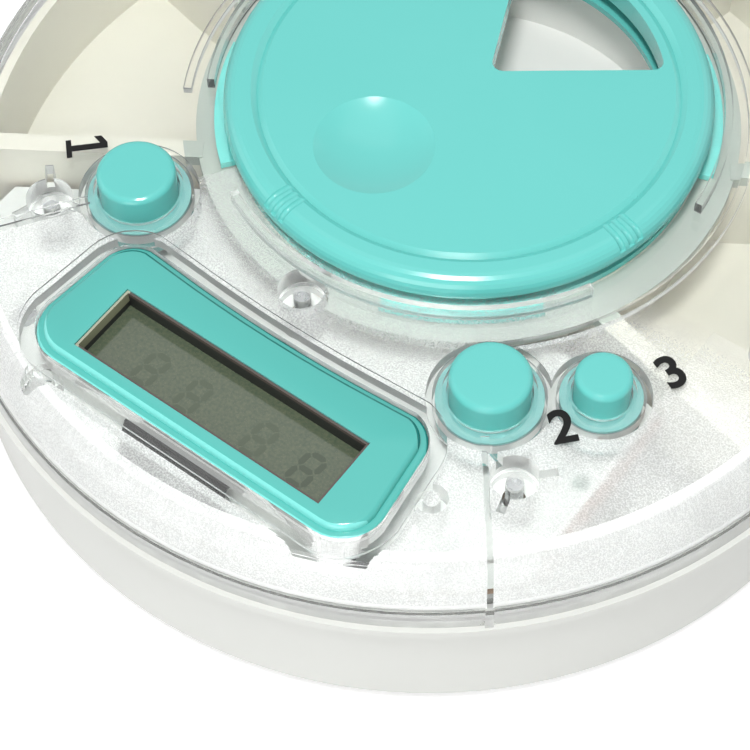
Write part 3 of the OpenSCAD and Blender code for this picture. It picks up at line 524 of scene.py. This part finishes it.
# The outer face is a little wavy, as a moulding's is. The etching glitters in fine crystals, thins out in broad
# clouds and towards the lid, and takes the colour of ground plastic.
at = add_node(tree, "ShaderNodeTexCoord")
swirl = add_node(tree, "ShaderNodeTexNoise", Scale=42.0, Detail=2.0, Distortion=0.8)
crystals = add_node(tree, "ShaderNodeTexNoise", Scale=4200.0, Detail=1.0, Roughness=0.6)
clouds = add_node(tree, "ShaderNodeTexNoise", Scale=90.0, Detail=3.0, Roughness=0.6)
for pattern in (swirl, crystals, clouds):
    tree.links.new(at.outputs["Object"], pattern.inputs["Vector"])
outer_face_z = 0.0356
waves = add_node(tree, "ShaderNodeBump", Strength=0.12, Distance=0.0004)
tree.links.new(both(tree, swirl.outputs["Fac"], over(tree, z, outer_face_z)), waves.inputs["Height"])
tree.links.new(waves.outputs[0], bsdf.inputs["Normal"])
etched = add_node(tree, "ShaderNodeBsdfPrincipled", Base_Color=(0.88, 0.89, 0.88, 1), Roughness=0.30)
etch_bump = add_node(tree, "ShaderNodeBump", Strength=0.9, Distance=0.0002)
tree.links.new(crystals.outputs["Fac"], etch_bump.inputs["Height"])
tree.links.new(etch_bump.outputs[0], etched.inputs["Normal"])
glitter = spread(tree, crystals.outputs["Fac"], 0.42, 0.62, 0.36, 0.62)
drift = spread(tree, clouds.outputs["Fac"], 0.3, 0.7, 0.8, 1.1)
near_lid = spread(tree, from_lid, 0.0400, 0.0500, 0.55, 1.0)
whiteness = both(tree, glitter, drift, near_lid, frost)
# Painted light: the etched shoulder, the upright walls, the bosses, the ridges, the band and the top beside the
# board are made whiter still.
for extra, amount in (
    (both(tree, slope, frost), 0.42),
    (wall, 0.28),
    (boss, 0.25),
    (ridge, 0.12),
    (band, 0.45),
    (painted_light_beside_board, 0.10),
):
    whiteness = maths(tree, "ADD", whiteness, maths(tree, "MULTIPLY", extra, amount))
surface = add_node(tree, "ShaderNodeMixShader")
tree.links.new(whiteness, surface.inputs[0])
tree.links.new(bsdf.outputs[0], surface.inputs[1])
tree.links.new(etched.outputs[0], surface.inputs[2])

# The lamps shine straight through the cover, and its etched and its polished inner faces each hold back a part
# of their light.
through = add_node(tree, "ShaderNodeBsdfTransparent")
inner_shade = mix(tree, zone, (0.42, 0.435, 0.43), (0.64, 0.66, 0.65))
tree.links.new(mix(tree, under_top, (0.95, 0.955, 0.95), inner_shade), through.inputs["Color"])
light_rays = add_node(tree, "ShaderNodeLightPath")
lit = add_node(tree, "ShaderNodeMixShader")
tree.links.new(light_rays.outputs["Is Shadow Ray"], lit.inputs[0])
tree.links.new(surface.outputs[0], lit.inputs[1])
tree.links.new(through.outputs[0], lit.inputs[2])
tree.links.new(lit.outputs[0], tree.nodes["Material Output"].inputs["Surface"])
dress(clear, "top_cover")

# The lid with its wedge, its finger hollow and its grip grooves is a glossy turquoise moulding. So are the ring
# that holds it under the cover and the display's bezel.
turquoise = plastic(
    "turquoise", (0.142, 0.580, 0.540), (0.126, 0.552, 0.508),
    gloss=(0.13, 0.22), grain=8000.0, cloud=40.0, lift=0.03,
)
dress(turquoise, "dial_lid", "dial_retainer", "lcd_bezel")

# Each button is a glossy cap on a skirt and a flange that the cover holds down. The flange, seen through the
# cover, is painted a duller tone: painted shade for the light that reaches it there.
button_plastic = plastic(
    "button_plastic", (0.128, 0.560, 0.520), (0.114, 0.530, 0.490),
    gloss=(0.12, 0.20), grain=8000.0, cloud=60.0, lift=0.03,
)
tree = button_plastic.node_tree
x, y, z, nx, ny, nz = spot_on(tree)
flange_top_z = 0.0345
# Painted shade: the flange below the cover's top is painted a duller turquoise.
paint(button_plastic, under(tree, z, flange_top_z), (0.150, 0.360, 0.345))
dress(button_plastic, "button_1", "button_2", "button_3")

# The display's surround is stepped and rounded all the way round, so its moulded edges are drawn smooth: the
# panel stands a millimetre above a ledge. Its far edges are painted dark as painted shade and its near ones
# light as a painted highlight.
surround = bpy.data.objects.new("display_surround", parts["lcd_bezel"].data.copy())
bpy.context.scene.collection.objects.link(surround)
bpy.ops.object.select_all(action="DESELECT")
surround.select_set(True)
bpy.context.view_layer.objects.active = surround
bpy.ops.mesh.customdata_custom_splitnormals_clear()
bpy.ops.object.mode_set(mode="EDIT")
bpy.ops.mesh.select_all(action="SELECT")
bpy.ops.mesh.remove_doubles(threshold=0.000005)
bpy.ops.object.mode_set(mode="OBJECT")
bpy.ops.object.shade_smooth_by_angle(angle=math.radians(50))
deep_turquoise = plastic(
    "deep_turquoise", (0.088, 0.470, 0.425), (0.076, 0.435, 0.390),
    gloss=(0.12, 0.20), grain=8000.0, cloud=30.0, lift=0.03,
)
tree = deep_turquoise.node_tree
x, y, z, nx, ny, nz = spot_on(tree)
ledge_z, flat_nz = 0.0352, 0.93
edge = both(tree, under(tree, nz, flat_nz), over(tree, z, ledge_z))
# Painted shade on the far rounded edges and a painted highlight on the near ones.
paint(deep_turquoise, both(tree, edge, over(tree, ny, 0.25)), (0.008, 0.185, 0.165))
paint(deep_turquoise, both(tree, edge, under(tree, ny, -0.25)), (0.200, 0.700, 0.650))
surround.data.materials.clear()
surround.data.materials.append(deep_turquoise)
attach(surround, "case")
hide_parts("lcd_bezel")

# A plain number is printed in black on the cover beside each button, its top towards the lid. The 1 has a flag
# and a foot, so that it can't be taken for a dash.
ink = plastic(
    "ink", (0.006, 0.006, 0.006), (0.010, 0.010, 0.010),
    gloss=(0.62, 0.75), grain=3000.0, cloud=500.0, lift=0.05,
)
ink.node_tree.nodes["Principled BSDF"].inputs["Specular IOR Level"].default_value = 0.2
print_z, print_high, print_bold, ink_thick = 0.03603, 0.0072, 0.00018, 0.00002
for figure, print_at in (("1", (-0.0400, -0.0291)), ("2", (0.0427, -0.0278)), ("3", (0.0498, -0.0118))):
    bpy.ops.object.select_all(action="DESELECT")
    bpy.ops.object.text_add(location=(0, 0, 0))
    number = bpy.context.active_object
    number.name = "number_" + figure
    number.data.body = figure
    number.data.size = print_high
    number.data.align_x = "CENTER"
    number.data.align_y = "CENTER"
    number.data.extrude = ink_thick / 2
    number.data.offset = print_bold
    bpy.ops.object.convert(target="MESH")
    if figure == "1":
        left = min(v.co.x for v in number.data.vertices)
        right = max(v.co.x for v in number.data.vertices)
        foot = min(v.co.y for v in number.data.vertices)
        head = max(v.co.y for v in number.data.vertices)
        for low_x, high_x, low_y, high_y, droop in (
            (left - 0.0011, right + 0.0011, foot - 0.0008, foot, 0.0),
            (left - 0.0013, left, head - 0.0011, head, 0.0008),
        ):
            bpy.ops.object.select_all(action="DESELECT")
            bpy.ops.mesh.primitive_cube_add(size=1)
            stroke = bpy.context.active_object
            stroke.scale = (high_x - low_x, high_y - low_y, ink_thick)
            stroke.location = ((low_x + high_x) / 2, (low_y + high_y) / 2, 0)
            bpy.ops.object.transform_apply(location=True, rotation=True, scale=True)
            for v in stroke.data.vertices:
                if v.co.x < low_x + 0.0001:
                    v.co.y -= droop
            number.select_set(True)
            bpy.context.view_layer.objects.active = number
            bpy.ops.object.join()
    towards_lid = math.atan2(lid_middle[1] - print_at[1], lid_middle[0] - print_at[0])
    number.location = (*print_at, print_z)
    number.rotation_euler = (0, 0, towards_lid - math.pi / 2)
    bpy.ops.object.transform_apply(location=True, rotation=True, scale=True)
    number.data.materials.clear()
    number.data.materials.append(ink)
    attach(number, "case")
